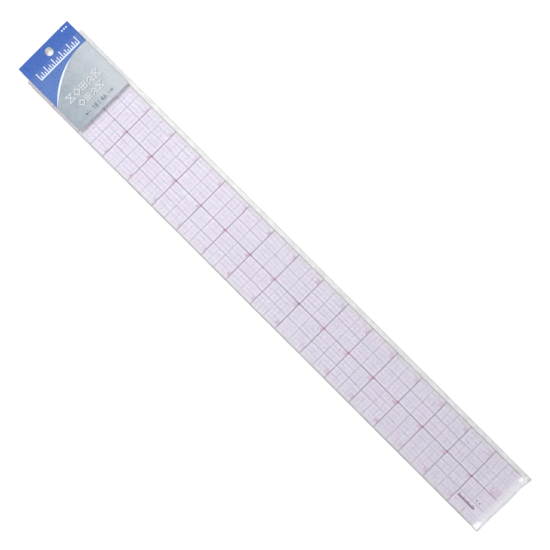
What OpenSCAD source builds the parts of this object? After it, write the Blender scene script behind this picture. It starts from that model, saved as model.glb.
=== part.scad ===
// Clear bevelled graph ruler for quilting, packed with a printed hang card in a clear film sleeve.
// The ruler lies flat along X. Its zero end and the hang card are at the -X end, and the sleeve's
// mouth is there too. +Z is up, through the face that is read.

/* [Ruler blade] */
// Length of the ruler in whole inches
ruler_inches = 18; // [12:1:24]
// Thickness of the clear blade
blade_t = 1.5; // [1:0.1:2.5]
// Width of the bevel along each long edge
bevel_w = 3.2; // [2:0.1:5]
// Thickness left at the bevelled edges
blade_edge_t = 0.6; // [0.4:0.1:0.9]

/* [Printed lines] */
// Thickness of one pass of ink
ink_t = 0.03; // [0.02:0.01:0.05]
// Width of the line along the middle of the ruler
centre_line_w = 0.26; // [0.2:0.02:0.5]
// Width of the lines across the ruler at each inch
inch_line_w = 0.28; // [0.2:0.02:0.5]
// Width of the half inch lines
half_line_w = 0.16; // [0.1:0.02:0.3]
// Width of the quarter inch lines
quarter_line_w = 0.1; // [0.08:0.01:0.2]
// Width of the eighth inch lines
eighth_line_w = 0.07; // [0.06:0.01:0.2]
// Width of the outline that runs round the printed grid
border_line_w = 0.2; // [0.1:0.02:0.4]

/* [Printed numbers] */
// Height of the inch numbers
digit_h = 2.4; // [1.5:0.1:3]
// Distance of the two outer rows of numbers from the middle of the ruler
number_row_y = 20.8; // [17:0.1:22]
// Width of the pen that draws the outer numbers, as a share of their height
digit_pen = 0.09; // [0.08:0.01:0.2]
// Width of the pen that draws the middle numbers, as a share of their height
middle_digit_pen = 0.1; // [0.08:0.01:0.2]
// Length of the arms of the small cross at each inch on the middle line
cross_arm = 1.3; // [0.5:0.1:2]

/* [Hang card] */
// Length of the hang card
card_len = 63.5; // [55:0.5:90]
// Width of the hang card
card_w = 50; // [45:0.1:50.8]
// Thickness of the board
card_t = 0.4; // [0.3:0.05:0.6]
// How far the card stands out past the end of the ruler
card_out = 11.6; // [11.2:0.1:20]
// How far the card lies to the +Y side of the middle of the ruler
card_side = 1.3; // [0:0.1:2]
// Diameter of the hang hole
hole_d = 6.35; // [5:0.05:6.5]
// Distance from the top of the card to the middle of the hang hole
hole_from_top = 6.8; // [5:0.1:6.9]
// Thickness of the coat of colour on the card
card_ink_t = 0.03; // [0.02:0.01:0.05]

/* [Sleeve] */
// Thickness of the film
film_t = 0.1; // [0.05:0.01:0.2]
// Width of the sleeve laid flat
sleeve_w = 55.6; // [55.4:0.1:62]
// Width of the sleeve that is free beside the ruler on its -Y side
sleeve_side_play = 1; // [1:0.1:2]
// How far the sleeve runs on past the far end of the ruler
sleeve_tail = 7.5; // [6:0.1:20]
// How far the mouth of the sleeve reaches past the zero end of the ruler
sleeve_mouth = 0.5; // [0.2:0.1:1]
// Width of the welds along the sides
weld_w = 0.4; // [0.3:0.1:0.6]
// Width of the heat seal across the bottom
seal_w = 2; // [1:0.1:4]

/* [Hidden] */

inch = 25.4;
ruler_len = ruler_inches * inch;
ruler_w = 2 * inch;
round_fn = 96;

// Gap left between pieces that slide past each other
slip = 0.05;
// Gap between the flat panels of one sheet of film, where it is creased
crease = 0.02;

// Heights of the stack, from the surface that the sleeve lies on
print_z = film_t + slip;
numbers_z = print_z;
cross_z = numbers_z + ink_t;
long_z = cross_z + ink_t;
blade_z = long_z + ink_t;
card_z = blade_z + blade_t + slip;
card_face_z = card_z + card_t;
front_z = card_face_z + 3 * card_ink_t + slip;

// Ends and sides, measured from the middle of the ruler
zero_end = -ruler_len / 2;
far_end = ruler_len / 2;
mouth_x = zero_end - sleeve_mouth;
tail_x = far_end + sleeve_tail;
near_y = -ruler_w / 2 - sleeve_side_play;
far_y = near_y + sleeve_w;

// Top and middle of the card
card_top_x = zero_end - card_out;
card_mid_x = card_top_x + card_len / 2;

// The whole object's box is centred on the origin
shift_x = -(card_top_x + tail_x) / 2;
shift_y = -(near_y + far_y) / 2;

// Flat top of the front film, wide enough for the blade and the card
roof_near_y = near_y + weld_w + 0.4;
roof_far_y = card_side + card_w / 2 + 0.5;
roof_tail_x = far_end + 1;
slope_far_y = far_y - weld_w;
slope_tail_x = tail_x - seal_w;

// Distances of the lengthwise lines from the middle line, in eighths of an inch
function eighths(step) = [for (n = [1 : 7]) if (is_step(n, step)) n];
// Finest line that falls on an eighth: 8 is an inch, 4 a half, 2 a quarter and 1 an eighth
function is_step(n, step) =
  step == 8 ? n % 8 == 0 : n % step == 0 && n % (2 * step) != 0;

// The blank band in the last inch, kept clear for the label blocks
label_lo = -0.75 * inch;
label_hi = -0.5 * inch;

module placed(z) {
  translate([shift_x, shift_y, z]) children();
}

module plate(x0, x1, y0, y1, t) {
  translate([x0, y0, 0]) cube([x1 - x0, y1 - y0, t]);
}

// ---- Ruler blade ----

module ruler_blade() {
  half = ruler_w / 2;
  color([0.93, 0.9, 0.97, 0.4])
    placed(blade_z)
      translate([zero_end, 0, 0])
        rotate([90, 0, 90])
          linear_extrude(ruler_len)
            polygon([
              [-half, 0],
              [half, 0],
              [half, blade_edge_t],
              [half - bevel_w, blade_t],
              [bevel_w - half, blade_t],
              [-half, blade_edge_t]
            ]);
}

// ---- Lines that run along the ruler, all in one pass of ink ----

module long_line(y, w, x0 = zero_end, x1 = far_end) {
  plate(x0, x1, y - w / 2, y + w / 2, ink_t);
}

// A pair of lines at n eighths of an inch either side of the middle, parted round the label blocks
module long_pair(n, w) {
  y = n * inch / 8;
  long_line(y, w);
  long_line(-y, w, x1 = -y < label_hi && -y > label_lo ? far_end - inch : far_end);
}

module border_lines() {
  y = (ruler_w - border_line_w) / 2;
  color([0.3, 0.28, 0.34])
    placed(long_z)
      for (side = [-1, 1]) long_line(side * y, border_line_w);
}

module centre_line() {
  color([0.2, 0.14, 0.22]) placed(long_z) long_line(0, centre_line_w);
}

module half_inch_long_lines() {
  color([0.35, 0.33, 0.42]) placed(long_z) for (n = eighths(4)) long_pair(n, half_line_w);
}

module quarter_inch_long_lines() {
  color([0.5, 0.48, 0.56]) placed(long_z) for (n = eighths(2)) long_pair(n, quarter_line_w);
}

module eighth_inch_long_lines() {
  color([0.6, 0.58, 0.66]) placed(long_z) for (n = eighths(1)) long_pair(n, eighth_line_w);
}

// ---- Lines that run across the ruler, in the next pass of ink ----

// A line across at n eighths of an inch from the zero end, parted round the label blocks.
// The half inch line there has a heavy end beside the blocks.
module cross_line(n, w) {
  x = zero_end + n * inch / 8;
  half = ruler_w / 2;
  in_last_inch = x > far_end - inch + w && x < far_end - w;
  end_w = is_step(n, 4) ? inch_line_w : w;
  if (in_last_inch) {
    plate(x - end_w / 2, x + end_w / 2, -half, label_lo, ink_t);
    plate(x - w / 2, x + w / 2, label_hi, half, ink_t);
  } else {
    plate(x - w / 2, x + w / 2, -half, half, ink_t);
  }
}

module cross_lines(step, w) {
  placed(cross_z)
    for (n = [1 : ruler_inches * 8 - 1]) if (is_step(n, step)) cross_line(n, w);
}

module inch_cross_lines() {
  color([0.33, 0.2, 0.33]) cross_lines(8, inch_line_w);
}

module half_inch_cross_lines() {
  color([0.35, 0.33, 0.42]) cross_lines(4, half_line_w);
}

module quarter_inch_cross_lines() {
  color([0.5, 0.48, 0.56]) cross_lines(2, quarter_line_w);
}

module eighth_inch_cross_lines() {
  color([0.6, 0.58, 0.66]) cross_lines(1, eighth_line_w);
}

// ---- Figures, drawn with a pen of even width in a cell 0.6 wide and 1 high ----

figure_w = 0.6;
figure_pitch = 0.82;

module stroke(p, q, pen) {
  run = q - p;
  translate(p)
    rotate(atan2(run[1], run[0]))
      translate([-pen / 2, -pen / 2]) square([norm(run) + pen, pen]);
}

module bend(c, r, from, to, pen) {
  steps = 8;
  angles = [for (i = [0 : steps]) from + (to - from) * i / steps];
  translate(c)
    polygon(concat(
      [for (a = angles) (r + pen / 2) * [cos(a), sin(a)]],
      [for (i = [steps : -1 : 0]) (r - pen / 2) * [cos(angles[i]), sin(angles[i])]]
    ));
}

module ring(c, r, pen) {
  bend(c, r, 0, 180, pen);
  bend(c, r, 180, 360, pen);
}

module figure_0(pen) {
  bend([0.3, 0.7], 0.3, 0, 180, pen);
  bend([0.3, 0.3], 0.3, 180, 360, pen);
  stroke([0, 0.3], [0, 0.7], pen);
  stroke([0.6, 0.3], [0.6, 0.7], pen);
}

module figure_1(pen) {
  stroke([0.36, 0], [0.36, 1], pen);
  stroke([0.12, 0.78], [0.36, 1], pen);
}

module figure_2(pen) {
  bend([0.3, 0.7], 0.3, -36, 170, pen);
  stroke([0.54, 0.52], [0.03, 0], pen);
  stroke([0.03, 0], [0.6, 0], pen);
}

module figure_3(pen) {
  bend([0.3, 0.76], 0.25, -90, 155, pen);
  bend([0.3, 0.26], 0.27, -155, 90, pen);
}

module figure_4(pen) {
  stroke([0.46, 0], [0.46, 1], pen);
  stroke([0.46, 1], [0, 0.32], pen);
  stroke([0, 0.32], [0.62, 0.32], pen);
}

module figure_5(pen) {
  stroke([0.54, 1], [0.1, 1], pen);
  stroke([0.1, 1], [0.06, 0.56], pen);
  bend([0.28, 0.31], 0.31, -150, 132, pen);
}

module figure_6(pen) {
  ring([0.3, 0.29], 0.29, pen);
  stroke([0.04, 0.42], [0.4, 1], pen);
}

module figure_7(pen) {
  stroke([0, 1], [0.58, 1], pen);
  stroke([0.58, 1], [0.2, 0], pen);
}

module figure_8(pen) {
  ring([0.3, 0.76], 0.24, pen);
  ring([0.3, 0.27], 0.28, pen);
}

module figure_9(pen) {
  translate([0.6, 1]) rotate(180) figure_6(pen);
}

module figure(n, pen) {
  if (n == 0) figure_0(pen);
  if (n == 1) figure_1(pen);
  if (n == 2) figure_2(pen);
  if (n == 3) figure_3(pen);
  if (n == 4) figure_4(pen);
  if (n == 5) figure_5(pen);
  if (n == 6) figure_6(pen);
  if (n == 7) figure_7(pen);
  if (n == 8) figure_8(pen);
  if (n == 9) figure_9(pen);
}

function number_w(n, h) = (n > 9 ? figure_pitch + figure_w : figure_w) * h;

// A number of one or two figures, with its lower left corner at the origin
module number(n, h, pen, t) {
  linear_extrude(t)
    scale(h) {
      if (n > 9) figure(floor(n / 10), pen);
      translate([n > 9 ? figure_pitch : 0, 0]) figure(n % 10, pen);
    }
}

// ---- Inch numbers, each on the zero side of its line ----

module number_row(y, pen) {
  gap = inch_line_w / 2 + 0.55;
  placed(numbers_z)
    for (n = [1 : ruler_inches - 1])
      translate([zero_end + n * inch - gap - number_w(n, digit_h), y - digit_h / 2, 0])
        number(n, digit_h, pen, ink_t);
}

module upper_inch_numbers() {
  color([0.78, 0.16, 0.42]) number_row(number_row_y, digit_pen);
}

module middle_inch_numbers() {
  color([0.78, 0.16, 0.42]) number_row(-centre_line_w / 2 - 0.6 - digit_h / 2, middle_digit_pen);
}

module lower_inch_numbers() {
  color([0.78, 0.16, 0.42]) number_row(-number_row_y, digit_pen);
}

// Small crosses where each inch line meets the middle line
module centre_cross_marks() {
  arm_w = 1.6 * inch_line_w;
  color([0.8, 0.1, 0.36])
    placed(numbers_z)
      for (n = [1 : ruler_inches - 1])
        translate([zero_end + n * inch, 0, 0]) {
          plate(-cross_arm, cross_arm, -arm_w / 2, arm_w / 2, ink_t);
          plate(-arm_w / 2, arm_w / 2, -cross_arm, cross_arm, ink_t);
        }
}

// Sixteenth inch squares in the last three eighths of the ruler, beside the middle line
module fine_grid_patch() {
  pitch = inch / 16;
  w = 0.14;
  color([0.75, 0.3, 0.5])
    placed(numbers_z)
      translate([far_end - 6 * pitch, 0, 0]) {
        for (i = [1, 3, 5]) plate(i * pitch - w / 2, i * pitch + w / 2, 0, 4 * pitch, ink_t);
        for (j = [1, 3]) plate(0, 6 * pitch, j * pitch - w / 2, j * pitch + w / 2, ink_t);
      }
}

// A row of plain blocks in the last inch, where a label would be printed, and two spots beside it
module plain_label_blocks() {
  block_h = 2.6;
  low_block_h = 1.7;
  block_w = 0.7;
  block_pitch = 1.5;
  blocks = 11;
  first_block = 2.4;
  spot = 0.9;
  spot_y = -10.9;
  color([0.55, 0.12, 0.36])
    placed(numbers_z) {
      translate([far_end - inch + first_block, (label_lo + label_hi - block_h) / 2, 0])
        for (i = [0 : blocks - 1])
          translate([i * block_pitch, 0, 0])
            plate(0, block_w, 0, i % 3 == 0 ? block_h : low_block_h, ink_t);
      for (in_from_end = [7.5, 10.5])
        translate([far_end - in_from_end, spot_y, 0]) plate(0, spot, 0, spot, ink_t);
    }
}

// ---- Hang card ----

// Puts a shape drawn with its X up the card, from the card's middle, onto the card
module on_card(z) {
  placed(z) translate([card_mid_x, card_side, 0]) rotate([0, 0, 180]) children();
}

// Puts a shape that reads from left to right, d below the top of the card, onto the card
module reading(d, z) {
  on_card(z) translate([card_len / 2 - d, 0, 0]) rotate([0, 0, -90]) children();
}

module card_outline() {
  translate([-card_len / 2, -card_w / 2]) square([card_len, card_w]);
}

module hang_hole_2d() {
  translate([card_len / 2 - hole_from_top, 0]) circle(hole_d / 2, $fn = round_fn);
}

module header_card() {
  color([0.93, 0.93, 0.94])
    on_card(card_z)
      linear_extrude(card_t)
        difference() {
          card_outline();
          hang_hole_2d();
        }
}

// The round edge between the blue and the silver, a large circle centred below the card
swoosh_r = 57.6;
swoosh_below_top = 77.4;
swoosh_right = 19.1;
swoosh_t = 1.4;
// The white band's inner edge is a larger circle, so the band tapers to nothing at both ends
swoosh_inner_r = 98.3;
swoosh_lean = 31;

module swoosh_circle() {
  translate([card_len / 2 - swoosh_below_top, -swoosh_right]) circle(swoosh_r, $fn = 4 * round_fn);
}

module swoosh_inner_circle() {
  reach = swoosh_r - swoosh_t - swoosh_inner_r;
  translate([card_len / 2 - swoosh_below_top, -swoosh_right])
    rotate(swoosh_lean)
      translate([reach, 0]) circle(swoosh_inner_r, $fn = 4 * round_fn);
}

module card_blue_field() {
  color([0.29, 0.43, 0.78])
    on_card(card_face_z)
      linear_extrude(card_ink_t)
        difference() {
          card_outline();
          swoosh_circle();
          hang_hole_2d();
        }
}

module card_silver_field() {
  color([0.76, 0.79, 0.82])
    on_card(card_face_z)
      linear_extrude(card_ink_t)
        intersection() {
          card_outline();
          swoosh_circle();
          swoosh_inner_circle();
        }
}

module card_white_swoosh() {
  color([0.97, 0.97, 0.98])
    on_card(card_face_z)
      linear_extrude(card_ink_t)
        intersection() {
          card_outline();
          difference() {
            swoosh_circle();
            swoosh_inner_circle();
          }
        }
}

// White graduated scale across the blue, and three dots in the corner
module card_scale_motif() {
  ticks = 21;
  pitch = 1.94;
  bar_t = 0.9;
  tick_w = 0.7;
  long_tick = 6.4;
  middle_tick = 4.6;
  short_tick = 3.1;
  foot = 18;
  aside = 0.8;
  dot_r = 0.6;
  color([0.97, 0.97, 0.99]) {
    reading(foot, card_face_z + card_ink_t)
      translate([aside - (ticks - 1) * pitch / 2, 0, 0])
        linear_extrude(card_ink_t) {
          translate([-tick_w / 2, 0]) square([(ticks - 1) * pitch + tick_w, bar_t]);
          for (i = [0 : ticks - 1])
            translate([i * pitch - tick_w / 2, 0])
              square([tick_w, i % 4 == 0 ? long_tick : i % 2 == 0 ? middle_tick : short_tick]);
        }
    reading(2.7, card_face_z + card_ink_t)
      linear_extrude(card_ink_t)
        for (i = [0 : 2]) translate([17.2 + 2.1 * i, 0]) circle(dot_r, $fn = 24);
  }
}

// ---- Patchwork shapes raised on the silver ----

patch_pen = 0.75;
shade_shift = 0.5;

module patch_path(points) {
  for (i = [0 : len(points) - 2]) stroke(points[i], points[i + 1], patch_pen);
}

// Two triangles that meet point to point
module patch_hourglass(a) {
  h = a / 2;
  patch_path([[-h, -h], [h, -h], [-h, h], [h, h], [-h, -h]]);
}

module patch_diamond(a) {
  h = a / 2;
  patch_path([[-h, 0], [0, -h], [h, 0], [0, h], [-h, 0]]);
}

// Four squares in a frame
module patch_window(a) {
  h = a * 0.44;
  patch_path([[-h, -h], [h, -h], [h, h], [-h, h], [-h, -h]]);
  stroke([-h, 0], [h, 0], patch_pen);
  stroke([0, -h], [0, h], patch_pen);
}

// Two chevrons, one above the other
module patch_chevrons(a) {
  h = a / 2;
  for (foot = [-h, 0]) patch_path([[-h, foot], [0, foot + 0.8 * h], [h, foot]]);
}

module patch(kind, a) {
  if (kind == 0) patch_hourglass(a);
  if (kind == 1) patch_diamond(a);
  if (kind == 2) patch_window(a);
  if (kind == 3) patch_chevrons(a);
}

// A row of patchwork blocks centred across the card, with its middle d below the top
module patch_row(count, a, pitch, d, first, z) {
  reading(d, z)
    linear_extrude(card_ink_t)
      for (i = [0 : count - 1])
        translate([(i - (count - 1) / 2) * pitch, 0]) patch((i + first) % 4, a);
}

module patch_rows(z) {
  patch_row(5, 5.2, 6.5, 41.9, 0, z);
  patch_row(4, 4.6, 6.1, 49.9, 1, z);
}

module card_patchwork_motif() {
  color([0.87, 0.89, 0.91]) patch_rows(card_face_z + 2 * card_ink_t);
}

// The same shapes set off down and to the right, in the coat below, so the blocks look raised
module card_patchwork_shade() {
  color([0.6, 0.64, 0.68])
    translate([shade_shift, shade_shift, 0]) patch_rows(card_face_z + card_ink_t);
}

// Length in inches and in centimetres, with an arrowhead either side
module card_size_numbers() {
  h = 3.05;
  pen = 0.15;
  foot = 60;
  centimetres = round(ruler_len / 10);
  half_gap = 2.2;
  bar_w = 0.4;
  arrow_x = 12.2;
  head_len = 1.5;
  head_w = 2.1;
  shaft_len = 3.2;
  reading(foot, card_face_z + card_ink_t)
    color([0.34, 0.38, 0.44]) {
      translate([-half_gap - number_w(ruler_inches, h), 0, 0])
        number(ruler_inches, h, pen, card_ink_t);
      translate([half_gap, 0, 0]) number(centimetres, h, pen, card_ink_t);
      linear_extrude(card_ink_t) {
        translate([-bar_w / 2, -0.3]) square([bar_w, h + 0.6]);
        for (turn = [0, 180])
          translate([0, h / 2]) rotate(turn) translate([arrow_x, 0]) {
            polygon([[0, head_w / 2], [head_len, 0], [0, -head_w / 2]]);
            translate([-shaft_len, -bar_w / 2]) square([shaft_len, bar_w]);
          }
      }
    }
}

// ---- Sleeve ----

module sleeve_back_film() {
  color([0.92, 0.92, 0.95, 0.3]) placed(0) plate(mouth_x, tail_x, near_y, far_y, film_t);
}

// A flat panel of film between two straight edges, each given by its two end points
module sloped_panel(edge_a, edge_b) {
  dot = 0.01;
  hull()
    for (p = concat(edge_a, edge_b)) translate(p) cube([dot, dot, film_t]);
}

module sleeve_front_film() {
  low = film_t;
  high = front_z;
  color([0.92, 0.92, 0.95, 0.3])
    placed(0) {
      translate([0, 0, high]) plate(mouth_x, roof_tail_x, roof_near_y, roof_far_y, film_t);
      sloped_panel(
        [[mouth_x, roof_near_y - crease, high], [roof_tail_x, roof_near_y - crease, high]],
        [[mouth_x, near_y + weld_w + crease, low], [slope_tail_x, near_y + weld_w + crease, low]]
      );
      sloped_panel(
        [[mouth_x, roof_far_y + crease, high], [roof_tail_x, roof_far_y + crease, high]],
        [[mouth_x, slope_far_y - crease, low], [slope_tail_x, slope_far_y - crease, low]]
      );
      sloped_panel(
        [[roof_tail_x + crease, roof_near_y, high], [roof_tail_x + crease, roof_far_y, high]],
        [[slope_tail_x - crease, near_y + weld_w + 3 * crease, low],
         [slope_tail_x - crease, slope_far_y - 3 * crease, low]]
      );
    }
}

module side_weld(y) {
  color([0.88, 0.88, 0.92, 0.5])
    placed(film_t) plate(mouth_x, slope_tail_x, y, y + weld_w, film_t);
}

module sleeve_side_weld_near() {
  side_weld(near_y);
}

module sleeve_side_weld_far() {
  side_weld(slope_far_y);
}

module sleeve_bottom_seal() {
  color([0.88, 0.88, 0.92, 0.5])
    placed(film_t) plate(slope_tail_x, tail_x, near_y, far_y, film_t);
}

ruler_blade();
border_lines();
centre_line();
half_inch_long_lines();
quarter_inch_long_lines();
eighth_inch_long_lines();
inch_cross_lines();
half_inch_cross_lines();
quarter_inch_cross_lines();
eighth_inch_cross_lines();
upper_inch_numbers();
middle_inch_numbers();
lower_inch_numbers();
centre_cross_marks();
fine_grid_patch();
plain_label_blocks();
header_card();
card_blue_field();
card_silver_field();
card_white_swoosh();
card_scale_motif();
card_patchwork_motif();
card_patchwork_shade();
card_size_numbers();
sleeve_back_film();
sleeve_front_film();
sleeve_side_weld_near();
sleeve_side_weld_far();
sleeve_bottom_seal();
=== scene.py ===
import math

import bmesh
import bpy
import numpy as np
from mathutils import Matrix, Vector, noise


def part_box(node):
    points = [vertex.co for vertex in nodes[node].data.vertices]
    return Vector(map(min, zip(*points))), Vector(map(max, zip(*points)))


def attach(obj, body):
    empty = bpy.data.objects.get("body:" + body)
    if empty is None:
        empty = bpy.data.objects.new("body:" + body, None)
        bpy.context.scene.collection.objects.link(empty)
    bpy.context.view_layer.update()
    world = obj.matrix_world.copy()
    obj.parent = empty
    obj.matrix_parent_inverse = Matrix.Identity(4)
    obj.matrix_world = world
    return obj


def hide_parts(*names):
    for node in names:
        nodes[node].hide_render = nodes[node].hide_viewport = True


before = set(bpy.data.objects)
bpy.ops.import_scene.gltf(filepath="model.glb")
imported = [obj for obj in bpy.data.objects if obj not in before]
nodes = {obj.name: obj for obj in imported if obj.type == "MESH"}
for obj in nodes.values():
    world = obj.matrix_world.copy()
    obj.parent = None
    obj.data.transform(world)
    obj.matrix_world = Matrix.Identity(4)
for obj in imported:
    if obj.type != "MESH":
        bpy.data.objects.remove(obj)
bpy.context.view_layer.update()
scene = bpy.context.scene

MM = 0.001


def box_mm(node):
    """Lowest and highest corners of a CAD node, in millimetres."""
    low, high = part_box(node)
    return low / MM, high / MM


BLADE_LOW, BLADE_HIGH = box_mm("ruler_blade")
CARD_LOW, CARD_HIGH = box_mm("header_card")
PRINT_TOP = box_mm("card_patchwork_motif")[1].z
SLEEVE_LOW, SLEEVE_HIGH = box_mm("sleeve_back_film")
FILM_T = SLEEVE_HIGH.z - SLEEVE_LOW.z
# The share of light that a clear face mirrors when seen straight on, and what grazing adds
MIRROR_STRAIGHT = 0.04
MIRROR_GRAZING = 0.9
RULER_Y = (BLADE_LOW.y + BLADE_HIGH.y) / 2

# ---------------------------------------------------------------- shader helpers


def linear(red, green, blue):
    """A colour given in display values from 0 to 255, as the shader's linear values."""
    def channel(value):
        value /= 255
        return value / 12.92 if value <= 0.04045 else ((value + 0.055) / 1.055) ** 2.4

    return (channel(red), channel(green), channel(blue), 1)


def put(tree, node, values):
    """Sets a node's inputs: another node's output is linked, anything else is set."""
    for name, value in values.items():
        if isinstance(value, bpy.types.NodeSocket):
            tree.links.new(value, node.inputs[name])
        else:
            node.inputs[name].default_value = value
    return node


def add(tree, kind, values=None, **settings):
    node = tree.nodes.new("ShaderNode" + kind)
    for name, value in settings.items():
        setattr(node, name, value)
    return put(tree, node, values or {})


def new_material(name):
    material = bpy.data.materials.new(name)
    material.use_nodes = True
    tree = material.node_tree
    return material, tree, tree.nodes["Principled BSDF"]


def place(tree, stretch=(1, 1, 1), turn=0.0):
    """Object coordinates, which are the frame's own metres, stretched or turned."""
    mapping = add(tree, "Mapping", {
        "Vector": add(tree, "TexCoord").outputs["Object"],
        "Rotation": (0, 0, math.radians(turn)),
        "Scale": stretch,
    })
    return mapping.outputs["Vector"]


def grain(tree, vector, scale, detail=3.0, low=0.0, high=1.0):
    """Noise spread over the range from low to high."""
    texture = add(tree, "TexNoise", {"Vector": vector, "Scale": scale, "Detail": detail})
    spread = add(tree, "MapRange", {
        "Value": texture.outputs["Fac"],
        "From Min": 0.3,
        "From Max": 0.7,
        "To Min": low,
        "To Max": high,
    })
    return spread.outputs["Result"]


def blend_colours(tree, share, first, second):
    mix = add(tree, "Mix", data_type="RGBA")
    put(tree, mix, {"Factor": share})
    for socket, colour in ((mix.inputs[6], first), (mix.inputs[7], second)):
        if isinstance(colour, bpy.types.NodeSocket):
            tree.links.new(colour, socket)
        else:
            socket.default_value = colour
    return mix.outputs[2]


def maths(tree, operation, first, second=0.0):
    node = add(tree, "Math", operation=operation)
    for socket, value in zip(node.inputs, (first, second)):
        if isinstance(value, bpy.types.NodeSocket):
            tree.links.new(value, socket)
        else:
            socket.default_value = value
    return node.outputs["Value"]


def bumped(tree, height, strength, depth_mm):
    bump = add(tree, "Bump", {"Height": height, "Strength": strength, "Distance": depth_mm * MM})
    return bump.outputs["Normal"]


def painted_shade_along(tree, start_mm, end_mm, at_start, at_end):
    """A value that changes along the ruler's length, from the card's end to the far end: it carries the
    painted shade that darkens the films towards the far end.
    """
    along = add(tree, "SeparateXYZ", {"Vector": place(tree)})
    fade = add(tree, "MapRange", {
        "Value": along.outputs["X"],
        "From Min": start_mm * MM,
        "From Max": end_mm * MM,
        "To Min": at_start,
        "To Max": at_end,
    })
    return fade.outputs["Result"]


def scaled(colour, share):
    return tuple(min(1, value * share) for value in colour[:3]) + (1,)


# ---------------------------------------------------------------- printed inks and board


def ink(name, colour, speckle=0.18, rough=0.45):
    """Screen-printed ink: slightly uneven in density, with the print screen's fine tooth."""
    material, tree, shader = new_material(name)
    density = grain(tree, place(tree), 420, detail=4)
    tooth = grain(tree, place(tree), 5200, detail=1)
    put(tree, shader, {
        "Base Color": blend_colours(
            tree, density, scaled(colour, 1 - speckle), scaled(colour, 1 + speckle)
        ),
        "Roughness": grain(tree, place(tree), 1300, low=rough - 0.08, high=rough + 0.1),
        "Normal": bumped(tree, tooth, 0.3, 0.01),
    })
    return material


def board(name, colour):
    """Bleached paperboard: short fibres, a matt face and a little mottle."""
    material, tree, shader = new_material(name)
    fibres = grain(tree, place(tree, (1, 0.25, 1), 35), 3800, detail=5)
    mottle = grain(tree, place(tree), 260)
    shade = maths(tree, "ADD", maths(tree, "MULTIPLY", fibres, 0.6), maths(tree, "MULTIPLY", mottle, 0.4))
    put(tree, shader, {
        "Base Color": blend_colours(tree, shade, scaled(colour, 0.9), scaled(colour, 1.04)),
        "Roughness": grain(tree, place(tree), 1500, low=0.75, high=0.92),
        "Normal": bumped(tree, fibres, 0.5, 0.03),
    })
    return material


def varnished(name, colour, deep, fade_turn=0.0, fade_from=0.0, fade_to=0.0, diamonds=0.0):
    """Offset ink under gloss varnish. It fades from colour to deep along a turned axis."""
    material, tree, shader = new_material(name)
    dots = grain(tree, place(tree), 6500, detail=0)
    mottle = grain(tree, place(tree), 130, detail=4, low=-0.05, high=0.05)
    share = mottle
    if fade_to > fade_from:
        along = add(tree, "SeparateXYZ", {"Vector": place(tree, turn=fade_turn)})
        ramp = add(tree, "MapRange", {
            "Value": along.outputs["X"],
            "From Min": fade_from,
            "From Max": fade_to,
        }, interpolation_type="SMOOTHSTEP")
        share = maths(tree, "ADD", ramp.outputs["Result"], mottle)
    if diamonds:
        cells = add(tree, "TexChecker", {"Vector": place(tree, turn=45), "Scale": 115})
        share = maths(tree, "ADD", share, maths(tree, "MULTIPLY", cells.outputs["Fac"], diamonds))
    faded = blend_colours(tree, share, colour, deep)
    put(tree, shader, {
        "Base Color": blend_colours(
            tree, maths(tree, "MULTIPLY", dots, 0.03), faded, linear(250, 250, 252)
        ),
        "Roughness": grain(tree, place(tree), 500, low=0.24, high=0.36),
        "Coat Weight": 0.35,
        "Coat Roughness": 0.12,
        "Normal": bumped(tree, grain(tree, place(tree), 700, detail=2), 0.25, 0.01),
    })
    return material


# ---------------------------------------------------------------- clear plastics


def clear_plastic(parts, tint, haze, haze_colour, gloss_rough, normal, thin=True):
    """Clear sheet: mostly lets light through, mirrors more towards grazing, with a little haze."""
    material, tree, shader = parts
    facing = add(tree, "LayerWeight", {"Blend": 0.5}).outputs["Facing"]
    grazing = maths(tree, "MULTIPLY", maths(tree, "POWER", facing, 5.0), MIRROR_GRAZING)
    mirror = maths(tree, "ADD", grazing, MIRROR_STRAIGHT)
    if thin:
        # Fitted to the photo: light on its way down to the table loses nothing by the mirror
        path = add(tree, "LightPath")
        down = maths(tree, "MAXIMUM", path.outputs["Is Shadow Ray"], path.outputs["Is Diffuse Ray"])
        mirror = maths(tree, "MULTIPLY", mirror, maths(tree, "SUBTRACT", 1.0, down))
    put(tree, shader, {"Base Color": haze_colour, "Roughness": 0.5, "Specular IOR Level": 0.0})
    through = add(tree, "BsdfTransparent", {"Color": tint})
    hazed = add(tree, "MixShader", {"Fac": haze})
    tree.links.new(through.outputs["BSDF"], hazed.inputs[1])
    tree.links.new(shader.outputs["BSDF"], hazed.inputs[2])
    gloss = add(tree, "BsdfGlossy", {"Color": (1, 1, 1, 1), "Roughness": gloss_rough, "Normal": normal})
    surface = add(tree, "MixShader", {"Fac": mirror})
    tree.links.new(hazed.outputs["Shader"], surface.inputs[1])
    tree.links.new(gloss.outputs["BSDF"], surface.inputs[2])
    output = tree.nodes["Material Output"]
    tree.links.new(surface.outputs["Shader"], output.inputs["Surface"])
    material.surface_render_method = "BLENDED"
    return material


def clear_film():
    """The film over and under the ruler. Its tint darkens a little towards the far end, and that
    darkening is painted shade.
    """
    parts = new_material("clear_film")
    tree = parts[1]
    ripple = grain(tree, place(tree, (1, 2.5, 1), 20), 90, detail=2)
    streaks = grain(tree, place(tree, (0.2, 3, 1)), 160, detail=3)
    haze = maths(tree, "ADD", maths(tree, "MULTIPLY", streaks, 0.012), 0.012)
    # painted shade: the film's tint darkens towards the far end
    fade = painted_shade_along(tree, -90, 200, 1.0, 0.966)
    tint = add(tree, "CombineColor", {"Red": fade, "Green": fade, "Blue": fade})
    return clear_plastic(
        parts, tint.outputs["Color"], haze, linear(233, 231, 243), 0.07,
        bumped(tree, ripple, 0.25, 0.25),
    )


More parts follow.
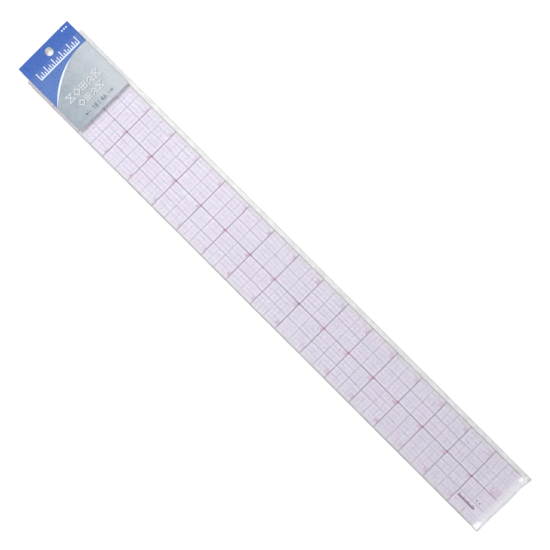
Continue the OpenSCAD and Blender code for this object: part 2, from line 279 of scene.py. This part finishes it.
def side_film():
    """The free margin beside the blade, where the film is puckered. Its dark grey haze is painted shade,
    and it grows towards the far end.
    """
    parts = new_material("side_film")
    tree = parts[1]
    ripple = grain(tree, place(tree, (1, 1.5, 1), 20), 140, detail=2)
    # painted shade: more dark grey haze towards the far end
    fade = painted_shade_along(tree, SLEEVE_LOW.x * 0.3, SLEEVE_HIGH.x, 0.023, 0.062)
    haze = maths(tree, "ADD", fade, grain(tree, place(tree), 220, low=-0.01, high=0.015))
    return clear_plastic(
        parts, (0.99, 0.99, 0.99, 1), haze, linear(96, 96, 104), 0.1,
        bumped(tree, ripple, 0.35, 0.3),
    )


def tail_film():
    """The crumpled tail past the blade. Its grey tint lets a little less light through: partly the two
    films' own dimming, partly painted shade of the far end.
    """
    parts = new_material("tail_film")
    tree = parts[1]
    ripple = grain(tree, place(tree, (1.5, 1, 1), 20), 110, detail=2)
    haze = grain(tree, place(tree, (2, 0.5, 1)), 150, low=0.02, high=0.035)
    # the grey tint is partly painted shade of the far end
    return clear_plastic(
        parts, (0.957, 0.956, 0.9605, 1), haze, linear(200, 199, 208), 0.1,
        bumped(tree, ripple, 0.3, 0.3),
    )


def welded_film():
    """Two films pressed into one frosted strip with fine ridges."""
    parts = new_material("welded_film")
    tree = parts[1]
    ridges = add(tree, "TexWave", {
        "Vector": place(tree), "Scale": 700, "Distortion": 0.6, "Detail": 1,
    }, bands_direction="X")
    frost = grain(tree, place(tree), 1700, low=0.03, high=0.08)
    return clear_plastic(
        parts, (1, 1, 1, 1), frost, linear(214, 212, 224), 0.22,
        bumped(tree, ridges.outputs["Fac"], 0.3, 0.03),
    )


def weld_bead():
    """Film melted back into a cloudy bead along the sides of the sleeve."""
    parts = new_material("weld_bead")
    tree = parts[1]
    lumps = grain(tree, place(tree, (1, 2, 1)), 900, detail=3)
    frost = maths(tree, "ADD", maths(tree, "MULTIPLY", lumps, 0.12), 0.12)
    return clear_plastic(
        parts, (0.98, 0.98, 0.98, 1), frost, linear(150, 150, 156), 0.2,
        bumped(tree, lumps, 0.4, 0.04),
    )


def acrylic(name, pink, blue, haze, haze_colour, rough, scratch_turn):
    """Cast acrylic, cloudy between a pink and a blue cast, with hairline scratches."""
    parts = new_material(name)
    tree = parts[1]
    tint = blend_colours(tree, grain(tree, place(tree), 130, detail=1), pink, blue)
    scratches = grain(tree, place(tree, (0.03, 6, 1), scratch_turn), 900, detail=6)
    cloud = grain(tree, place(tree), 60, detail=2)
    amount = maths(tree, "ADD", maths(tree, "MULTIPLY", scratches, haze * 0.5), haze * 0.5)
    amount = maths(tree, "MULTIPLY", amount, maths(tree, "ADD", maths(tree, "MULTIPLY", cloud, 0.4), 0.8))
    return clear_plastic(
        parts, tint, amount, haze_colour, rough, bumped(tree, scratches, 0.1, 0.01), thin=False
    )


# ---------------------------------------------------------------- colours on the CAD nodes

HALF_INK = ink("half_ink", linear(94, 90, 108))
QUARTER_INK = ink("quarter_ink", linear(130, 125, 145))
EIGHTH_INK = ink("eighth_ink", linear(156, 149, 169))
NUMBER_INK = ink("number_ink", linear(202, 134, 166))

INKS = {
    "border_lines": ink("border_ink", linear(70, 68, 78)),
    "centre_line": ink("centre_ink", linear(48, 28, 46)),
    "inch_cross_lines": ink("inch_ink", linear(92, 30, 62)),
    "half_inch_long_lines": HALF_INK,
    "half_inch_cross_lines": HALF_INK,
    "quarter_inch_long_lines": QUARTER_INK,
    "quarter_inch_cross_lines": QUARTER_INK,
    "eighth_inch_long_lines": EIGHTH_INK,
    "eighth_inch_cross_lines": EIGHTH_INK,
    "upper_inch_numbers": NUMBER_INK,
    "middle_inch_numbers": NUMBER_INK,
    "lower_inch_numbers": NUMBER_INK,
    "centre_cross_marks": ink("cross_ink", linear(208, 70, 118)),
    "fine_grid_patch": ink("patch_ink", linear(196, 96, 142)),
    "plain_label_blocks": ink("label_ink", linear(118, 56, 96)),
}

CARD_REACH = (CARD_HIGH.x - CARD_LOW.x) * MM
PRINTS = {
    # painted sheen: the blue lightens from the card's top towards the sleeve, standing in for the film's
    # veil over it
    "card_blue_field": varnished(
        "blue_print", linear(45, 87, 166), linear(61, 105, 177),
        fade_from=CARD_LOW.x * MM, fade_to=CARD_LOW.x * MM + CARD_REACH * 0.45,
    ),
    "card_silver_field": varnished(
        "silver_print", linear(143, 155, 165), linear(184, 190, 196),
        fade_turn=-72, fade_from=-0.084, fade_to=-0.03, diamonds=0.14,
    ),
    "card_white_swoosh": varnished("white_print", linear(221, 232, 243), linear(214, 228, 241)),
    "card_scale_motif": varnished("white_scale_print", linear(217, 228, 247), linear(208, 221, 244)),
    "card_patchwork_motif": varnished("raised_print", linear(203, 207, 210), linear(197, 202, 206)),
    "card_patchwork_shade": varnished("shade_print", linear(134, 142, 149), linear(127, 137, 145)),
    "card_size_numbers": ink("slate_print", linear(78, 86, 99), speckle=0.1),
}


def finish_node(name, material):
    for material_slot in nodes[name].material_slots:
        material_slot.material = material


for name, material in {**INKS, **PRINTS}.items():
    finish_node(name, material)

# ---------------------------------------------------------------- mesh helpers


def new_piece(name, points, faces, materials, replaced, body, smooth=True):
    """A mesh from points in millimetres, put on its body in place of CAD nodes."""
    mesh = bpy.data.meshes.new(name)
    mesh.from_pydata([Vector(p) * MM for p in points], [], faces)
    mesh.validate()
    mesh.shade_smooth() if smooth else mesh.shade_flat()
    for material in materials:
        mesh.materials.append(material)
    piece = bpy.data.objects.new(name, mesh)
    scene.collection.objects.link(piece)
    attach(piece, body)
    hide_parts(*replaced)
    return piece


def softened(node, name, materials, body, radius_mm):
    """A copy of a flat-sided CAD node with its sharp edges rounded over."""
    mesh = nodes[node].data.copy()
    mesh.name = name
    work = bmesh.new()
    work.from_mesh(mesh)
    bmesh.ops.remove_doubles(work, verts=work.verts, dist=1e-6)
    bmesh.ops.dissolve_limit(
        work, angle_limit=math.radians(1), verts=work.verts, edges=work.edges
    )
    sharp = [e for e in work.edges if e.is_manifold and e.calc_face_angle() > math.radians(12)]
    bmesh.ops.bevel(
        work, geom=sharp, offset=radius_mm * MM, segments=3, profile=0.5, affect="EDGES"
    )
    work.to_mesh(mesh)
    work.free()
    mesh.materials.clear()
    for material in materials:
        mesh.materials.append(material)
    piece = bpy.data.objects.new(name, mesh)
    scene.collection.objects.link(piece)
    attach(piece, body)
    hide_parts(node)
    return piece


def sheet_faces(count_x, count_y):
    """Faces of a closed sheet whose points are the upper grid and then the lower one."""
    below = count_x * count_y
    faces = []
    for i in range(count_x - 1):
        for j in range(count_y - 1):
            a = i * count_y + j
            b = a + count_y
            faces.append((a, b, b + 1, a + 1))
            faces.append((below + a, below + a + 1, below + b + 1, below + b))
    rim = [i * count_y for i in range(count_x)]
    rim += [(count_x - 1) * count_y + j for j in range(1, count_y)]
    rim += [i * count_y + count_y - 1 for i in range(count_x - 2, -1, -1)]
    rim += list(range(count_y - 2, 0, -1))
    for a, b in zip(rim, rim[1:] + rim[:1]):
        faces.append((b, a, below + a, below + b))
    return faces


def spans(*stops):
    """Points from stop to stop: each stop is (place, step up to the next place)."""
    places = []
    for (start, step), (end, _) in zip(stops, stops[1:]):
        count = max(1, round((end - start) / step))
        places += [start + (end - start) * i / count for i in range(count)]
    return np.array(places + [stops[-1][0]])


# ---------------------------------------------------------------- blade


def make_blade():
    face = acrylic(
        "blade_face", (0.9885, 0.9645, 0.998, 1), (0.9745, 0.97, 0.999, 1),
        0.02, linear(206, 198, 222), 0.03, 4,
    )
    bevel = acrylic(
        "blade_bevel", (0.969, 0.9565, 0.97, 1), (0.961, 0.9595, 0.97, 1),
        0.05, linear(196, 194, 206), 0.16, 0,
    )
    sawn = acrylic(
        "blade_end", (0.955, 0.94, 0.98, 1), (0.945, 0.94, 0.98, 1),
        0.2, linear(214, 210, 230), 0.3, 90,
    )
    blade = softened(
        "ruler_blade", "bevelled_blade", (face, bevel, sawn), "ruler", 0.12
    )
    for polygon in blade.data.polygons:
        if abs(polygon.normal.x) > 0.5:
            polygon.material_index = 2
        elif abs(polygon.normal.y) > 0.12:
            polygon.material_index = 1
    return blade


# ---------------------------------------------------------------- card


def make_card():
    return softened(
        "header_card", "die_cut_card", (board("card_board", linear(238, 238, 236)),),
        "hang_card", 0.05,
    )


# ---------------------------------------------------------------- sleeve

# Free play between the film and what it lies on
CLEARANCE = 0.04
# The bottom of the sleeve is cut a little out of square
TAIL_SHORT = 1.1
CORNER_REACH = 0.7


def blade_top(y):
    """Height of the blade's upper side at y, with bevels of the same size as the CAD blade's."""
    edge_t = 0.6
    bevel_w = 3.2
    half = (BLADE_HIGH.y - BLADE_LOW.y) / 2
    into = np.clip((half - np.abs(y - RULER_Y)) / bevel_w, 0, 1)
    full_t = BLADE_HIGH.z - BLADE_LOW.z
    return np.where(np.abs(y - RULER_Y) <= half, BLADE_LOW.z + edge_t + (full_t - edge_t) * into, 0)


def contents_top(x, y):
    """Height of whatever lies between the films at each point of the grid."""
    on_blade = (x >= BLADE_LOW.x - 0.1) & (x <= BLADE_HIGH.x + 0.1)
    on_card = (x <= CARD_HIGH.x + 0.3) & (y >= CARD_LOW.y - 0.3) & (y <= CARD_HIGH.y + 0.3)
    height = np.where(on_blade, blade_top(y), 0)
    return np.maximum(np.where(on_card, PRINT_TOP, height), SLEEVE_HIGH.z)


def taut_over(xs, ys, floor):
    """Relaxes a film pinned along both sides and the bottom until it lies taut over floor."""
    height = floor.copy()
    before_x, after_x = 1 / (xs[1:-1] - xs[:-2]), 1 / (xs[2:] - xs[1:-1])
    before_y, after_y = 1 / (ys[1:-1] - ys[:-2]), 1 / (ys[2:] - ys[1:-1])
    span_x = (xs[2:] - xs[:-2])[:, None] / 2
    span_y = (ys[2:] - ys[:-2])[None, :] / 2
    weights = [
        before_x[:, None] / span_x,
        after_x[:, None] / span_x,
        before_y[None, :] / span_y,
        after_y[None, :] / span_y,
    ]
    total = sum(weights)
    for _ in range(1500):
        pulled = (
            weights[0] * height[:-2, 1:-1]
            + weights[1] * height[2:, 1:-1]
            + weights[2] * height[1:-1, :-2]
            + weights[3] * height[1:-1, 2:]
        ) / total
        height[1:-1, 1:-1] = np.maximum(floor[1:-1, 1:-1], pulled)
        height[0, 1:-1] = np.maximum(floor[0, 1:-1], height[1, 1:-1])
    return height


def wave(x, y, seed):
    """Smooth noise from 0 to 1."""
    return 0.5 + 0.5 * noise.noise(Vector((x, y, seed)))


def pucker(x, y, free):
    """How far the film stands off from taut: long soft waves, stronger where it hangs free."""
    drift = wave(x / 34 + y / 60, y / 22, 1.5)
    diagonal = wave((x + 1.4 * y) / 13, (y - x) / 70, 7.2)
    cross = wave(x / 5.5, y / 9, 3.1)
    return 0.05 * drift * diagonal + free * (0.2 * drift + 0.3 * cross * diagonal)


def tail_reach(y):
    """Length of the sleeve past the ruler's end at y, longest at the corner with the crease."""
    full = SLEEVE_HIGH.x - BLADE_HIGH.x
    share = (y - SLEEVE_LOW.y) / (SLEEVE_HIGH.y - SLEEVE_LOW.y)
    corner = max(0, (share - 0.86) / 0.14)
    dip = 0.5 * math.exp(-((share - 0.8) / 0.07) ** 2)
    return full - TAIL_SHORT * (1 - share) - dip + CORNER_REACH * corner**1.5


def outline_point(x, y):
    """Where a point of the even grid lies once the edges wander and the bottom is cut askew."""
    if x > BLADE_HIGH.x:
        full = SLEEVE_HIGH.x - BLADE_HIGH.x
        x = BLADE_HIGH.x + (x - BLADE_HIGH.x) * tail_reach(y) / full
    for edge, inner in ((SLEEVE_LOW.y, BLADE_LOW.y), (SLEEVE_HIGH.y, BLADE_HIGH.y)):
        share = (y - inner) / (edge - inner)
        if share > 0:
            y += share * 0.22 * (wave(x / 26, 0, edge) - 0.5)
    return x, y


def crease_height(x, y):
    """The dog-eared corner: two soft creases that meet at the blade's corner."""
    along = x - BLADE_HIGH.x
    across = y - BLADE_HIGH.y
    fold = math.exp(-((along - 0.9 * across - 1.2) / 0.7) ** 2)
    second = math.exp(-((across + 0.8 * along - 3.4) / 0.6) ** 2)
    near = math.exp(-((along - 3.5) ** 2 + (across - 1) ** 2) / 14)
    return near * (0.45 * fold + 0.3 * second)


def film_grid():
    foot = CARD_HIGH.x
    end = BLADE_HIGH.x
    xs = spans(
        (SLEEVE_LOW.x, 2), (foot - 8, 1), (foot + 8, 3), (end - 6, 1), (end, 0.5), (SLEEVE_HIGH.x, 0)
    )
    near = BLADE_LOW.y
    far = BLADE_HIGH.y
    ys = spans(
        (SLEEVE_LOW.y, 0.2), (near, 0.4), (near + 4, 1.6), (far - 4, 0.6), (far, 0.35),
        (SLEEVE_HIGH.y, 0),
    )
    return xs, ys


def sheet_mesh(name, xs, ys, lower, upper, materials, replaced, pick):
    """A closed thin sheet between two height fields, with the sleeve's wandering outline."""
    points = []
    for field in (upper, lower):
        for i, x in enumerate(xs):
            for j, y in enumerate(ys):
                points.append((*outline_point(x, y), field[i, j]))
    faces = sheet_faces(len(xs), len(ys))
    piece = new_piece(name, points, faces, materials, replaced, "sleeve")
    for polygon in piece.data.polygons:
        polygon.material_index = pick(polygon.center / MM)
    piece.data.set_sharp_from_angle(angle=math.radians(40))
    return piece


def make_films():
    xs, ys = film_grid()
    grid_x, grid_y = np.meshgrid(xs, ys, indexing="ij")
    floor = contents_top(grid_x, grid_y) + CLEARANCE
    floor[:, 0] = floor[:, -1] = floor[-1, :] = SLEEVE_HIGH.z + 0.005
    taut = taut_over(xs, ys, floor)
    free = np.clip((taut - floor) / 0.5, 0, 1)
    held = np.minimum.outer(
        np.clip((xs[-1] - xs) / 3, 0, 1),
        np.clip(np.minimum(ys - ys[0], ys[-1] - ys) / 1.2, 0, 1),
    )
    front = taut.copy()
    back = np.zeros_like(taut)
    for i, x in enumerate(xs):
        for j, y in enumerate(ys):
            front[i, j] += held[i, j] * (pucker(x, y, free[i, j]) + crease_height(x, y))
            beside = 0.0 if BLADE_LOW.y < y < BLADE_HIGH.y else 0.12
            back[i, j] = held[i, j] * (0.02 + beside) * wave(x / 9, y / 6, 5.4)
    front = np.minimum(front, np.maximum(taut, PRINT_TOP + 0.1))
    back = np.minimum(back, front - FILM_T - 0.02)
    back[:, 0] = back[:, -1] = back[-1, :] = 0
    back = np.maximum(back, 0)
    films = (clear_film(), side_film(), tail_film())
    middle, side, tail = range(3)

    def part_of_film(centre):
        if centre.y > BLADE_HIGH.y - 0.05 or centre.y < BLADE_LOW.y + 0.05:
            return side
        return tail if centre.x > BLADE_HIGH.x + 0.2 else middle

    sheet_mesh(
        "front_film", xs, ys, front, front + FILM_T, films, ("sleeve_front_film",),
        part_of_film,
    )
    sheet_mesh(
        "back_film", xs, ys, back, back + FILM_T, films, ("sleeve_back_film",),
        part_of_film,
    )


def make_side_weld(name, node, edge_y, inward, material):
    """The bead of melted film along one side: a flattened tube of uneven thickness."""
    sides = 8
    half_w = 0.2
    half_t = 0.12
    mid_z = 0.13
    xs = spans((SLEEVE_LOW.x, 2.5), (SLEEVE_HIGH.x - 0.6, 0))
    points, faces = [], []
    for x in xs:
        px, py = outline_point(x, edge_y)
        swell = 0.85 + 0.3 * wave(x / 4, edge_y, 8.8)
        for k in range(sides):
            angle = 2 * math.pi * k / sides
            points.append((
                px,
                py + inward * half_w + half_w * math.cos(angle),
                mid_z + half_t * swell * math.sin(angle),
            ))
    for i in range(len(xs) - 1):
        for k in range(sides):
            a = i * sides + k
            b = i * sides + (k + 1) % sides
            faces.append((a, b, b + sides, a + sides))
    faces.append(tuple(range(sides))[::-1])
    faces.append(tuple((len(xs) - 1) * sides + k for k in range(sides)))
    return new_piece(name, points, faces, (material,), (node,), "sleeve")


def make_bottom_seal(material):
    """The heat seal across the bottom: a strip pressed into fine ridges."""
    seal_w = 2.0
    ridges = 5
    steps = ridges * 4
    ys = spans((SLEEVE_LOW.y + 0.1, 1.2), (SLEEVE_HIGH.y - 0.1, 0))
    us = [i / steps for i in range(steps + 1)]
    points = []
    for top in (True, False):
        for u in us:
            for y in ys:
                px, py = outline_point(SLEEVE_HIGH.x, y)
                ridge = 0.03 * math.sin(2 * math.pi * ridges * u) ** 2
                height = 2 * FILM_T + 0.02 + ridge if top else 0.0
                points.append((px - 0.3 - seal_w * (1 - u), py, height))
    return new_piece(
        "ridged_bottom_seal", points, sheet_faces(len(us), len(ys)), (material,),
        ("sleeve_bottom_seal",), "sleeve",
    )


make_blade()
make_card()
make_films()
bead_material = weld_bead()
make_side_weld("near_side_weld", "sleeve_side_weld_near", SLEEVE_LOW.y, 1, bead_material)
make_side_weld("far_side_weld", "sleeve_side_weld_far", SLEEVE_HIGH.y, -1, bead_material)
make_bottom_seal(welded_film())

# ---------------------------------------------------------------- studio


def make_floor():
    material, tree, shader = new_material("studio_floor")
    put(tree, shader, {
        "Base Color": blend_colours(
            tree, grain(tree, place(tree), 6), linear(238, 238, 238), linear(242, 242, 242)
        ),
        "Roughness": 0.8,
    })
    mesh = bpy.data.meshes.new("studio_floor")
    half = 4.0
    # Just under the sleeve, so that the two faces don't coincide
    height = -0.0002
    corners = ((-half, -half), (half, -half), (half, half), (-half, half))
    mesh.from_pydata([(x, y, height) for x, y in corners], [], [(0, 1, 2, 3)])
    mesh.materials.append(material)
    floor = bpy.data.objects.new("studio_floor", mesh)
    scene.collection.objects.link(floor)


def make_world():
    """Brightest half-way up, and darker overhead and low down, where the clear sheets mirror it."""
    # Height of the direction, as its Z, and the level of light from there
    stops = ((0.04, 0.8), (0.1, 0.3), (0.3, 0.3), (0.42, 0.88), (0.78, 0.88), (0.92, 0.25))
    world = bpy.data.worlds.new("studio_world")
    world.use_nodes = True
    tree = world.node_tree
    direction = add(tree, "SeparateXYZ", {"Vector": add(tree, "TexCoord").outputs["Generated"]})
    ramp = add(tree, "ValToRGB", {"Fac": direction.outputs["Z"]})
    elements = ramp.color_ramp.elements
    elements.remove(elements[1])
    first_height, first_level = stops[0]
    elements[0].position = first_height
    elements[0].color = (first_level, first_level, first_level, 1)
    for height, level in stops[1:]:
        elements.new(height).color = (level, level, level, 1)
    put(tree, tree.nodes["Background"], {"Color": ramp.outputs["Color"], "Strength": 0.85})
    scene.world = world


def area_light(name, place_m, size, watts):
    """A round lamp that faces the middle of the object."""
    data = bpy.data.lights.new(name, "AREA")
    data.shape = "DISK"
    data.size = size
    data.energy = watts
    light = bpy.data.objects.new(name, data)
    light.location = place_m
    light.rotation_euler = (-Vector(place_m)).to_track_quat("-Z", "Y").to_euler()
    scene.collection.objects.link(light)


def make_camera():
    """Looks straight down with a long lens, turned so that the ruler lies across the frame."""
    data = bpy.data.cameras.new("camera")
    data.lens = 100
    data.sensor_width = 36
    camera = bpy.data.objects.new("camera", data)
    camera.location = (0.0, 0.0009, 1.1151)
    camera.rotation_euler = (0, 0, math.radians(44.95))
    scene.collection.objects.link(camera)
    scene.camera = camera


make_floor()
make_world()
area_light("key_light", (-3.8, 0.5, 3.3), 3.2, 266)
area_light("left_fill_light", (1.1, -0.5, 0.9), 0.8, 4.9)
area_light("right_fill_light", (1.1, 0.5, 0.9), 0.8, 4.9)
make_camera()
scene.view_settings.view_transform = "Standard"
# A ray can cross both films and the blade at two faces each, going down and coming back
scene.cycles.transparent_max_bounces = 32
